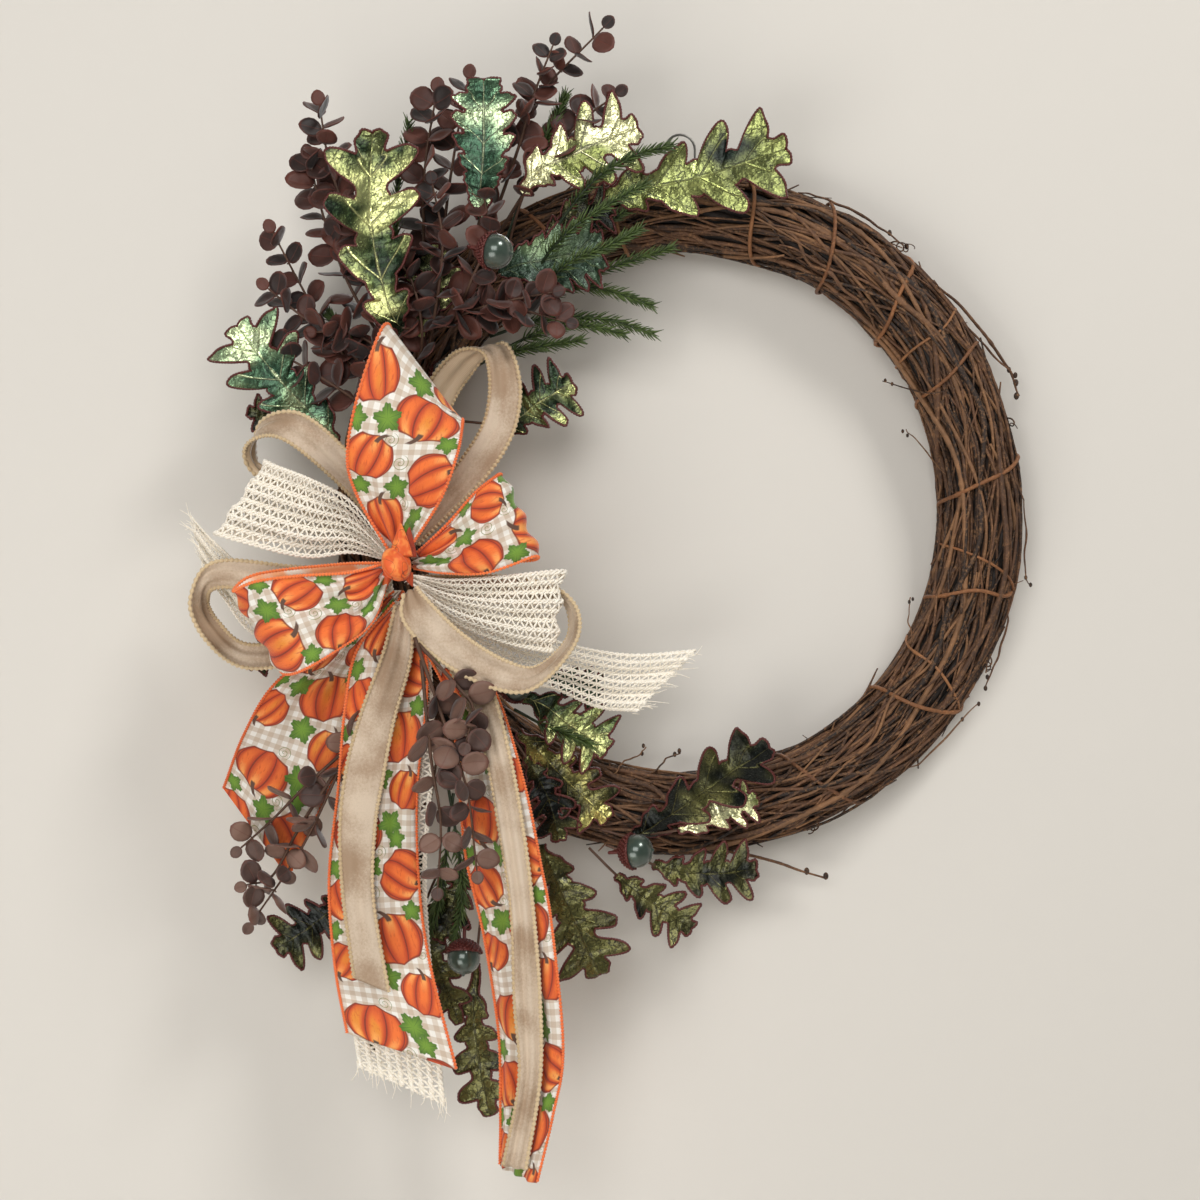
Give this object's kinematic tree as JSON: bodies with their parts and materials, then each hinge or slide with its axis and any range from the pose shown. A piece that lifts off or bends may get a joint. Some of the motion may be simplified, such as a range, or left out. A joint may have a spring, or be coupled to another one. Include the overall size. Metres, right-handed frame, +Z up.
{
  "type": "door wreath",
  "caption": "Grapevine ring with a tied ribbon bow, foil oak leaves, acorns and sprigs, hung by a swinging wire loop.",
  "frame": {"origin": "inside top of the hanging loop, where the hook or nail bears", "axes": "+Z up, -Y out of the door towards the viewer, +X to the viewer's right"},
  "size_m": [0.5478, 0.1407, 0.7343],
  "materials": {
    "vine": "rough dried grapevine",
    "binding": "smoother lighter vine",
    "wire": "florist wire",
    "printed": "printed canvas ribbon with wired orange edge",
    "open_weave": "open crochet-look cotton",
    "velvet": "velvet with overlocked edge",
    "oak": "crinkled green-gold foil",
    "eucalyptus": "matt burgundy",
    "pine": "matt green",
    "acorn": "pearl",
    "cap": "glittered burgundy"
  },
  "bodies": {
    "wreath": {"acorn_1_cap": "cap", "acorn_1_nut": "acorn", "acorn_2_cap": "cap", "acorn_2_nut": "acorn", "acorn_3_cap": "cap", "acorn_3_nut": "acorn", "binding_vine_1": "binding", "binding_vine_2": "binding", "binding_vine_3": "binding", "binding_vine_4": "binding", "binding_vine_5": "binding", "bow_knot": "printed", "bow_wire": "wire", "eucalyptus_sprig_1": "eucalyptus", "eucalyptus_sprig_2": "eucalyptus", "eucalyptus_sprig_3": "eucalyptus", "eucalyptus_sprig_4": "eucalyptus", "eucalyptus_sprig_5": "eucalyptus", "eucalyptus_sprig_6": "eucalyptus", "eucalyptus_sprig_7": "eucalyptus", "hanger_wire": "wire", "oak_leaf_01": "oak", "oak_leaf_02": "oak", "oak_leaf_03": "oak", "oak_leaf_04": "oak", "oak_leaf_05": "oak", "oak_leaf_06": "oak", "oak_leaf_07": "oak", "oak_leaf_08": "oak", "oak_leaf_09": "oak", "oak_leaf_10": "oak", "oak_leaf_11": "oak", "oak_leaf_12": "oak", "oak_leaf_13": "oak", "oak_leaf_14": "oak", "oak_leaf_15": "oak", "open_weave_loop_left": "open_weave", "open_weave_loop_right": "open_weave", "open_weave_tail_left": "open_weave", "open_weave_tail_right": "open_weave", "pine_sprig_1": "pine", "pine_sprig_2": "pine", "pine_sprig_3": "pine", "printed_loop_left": "printed", "printed_loop_right": "printed", "printed_loop_top": "printed", "stray_vine_lower": "binding", "stray_vine_upper": "binding", "velvet_loop_left": "velvet", "velvet_loop_right": "velvet", "velvet_loop_upper_left": "velvet", "velvet_loop_upper_right": "velvet", "vine_bundle": "vine"},
    "hanging_loop": {"hanging_loop": "wire"},
    "tail_left": {"printed_tail_left": "printed"},
    "tail_middle": {"printed_tail_middle": "printed", "velvet_tail_middle": "velvet", "open_weave_tail_middle": "open_weave"},
    "tail_right": {"printed_tail_right": "printed", "velvet_tail_right": "velvet"}
  },
  "joints": [
    {"name": "loop_swing", "type": "hinge", "parent": "wreath", "child": "hanging_loop", "pos_m": [0, 0, -0.0229], "axis": [1, 0, 0], "range_deg": [-60, 45]},
    {"name": "tail_left_sway", "type": "hinge", "parent": "wreath", "child": "tail_left", "pos_m": [-0.18004, -0.045, -0.28858], "axis": [0, 1, 0], "range_deg": [-3, 10]},
    {"name": "tail_middle_sway", "type": "hinge", "parent": "wreath", "child": "tail_middle", "pos_m": [-0.18004, -0.071, -0.28858], "axis": [0, 1, 0], "range_deg": [-2, 5]},
    {"name": "tail_right_sway", "type": "hinge", "parent": "wreath", "child": "tail_right", "pos_m": [-0.18004, -0.086, -0.28858], "axis": [0, 1, 0], "range_deg": [-10, 2]}
  ]
}
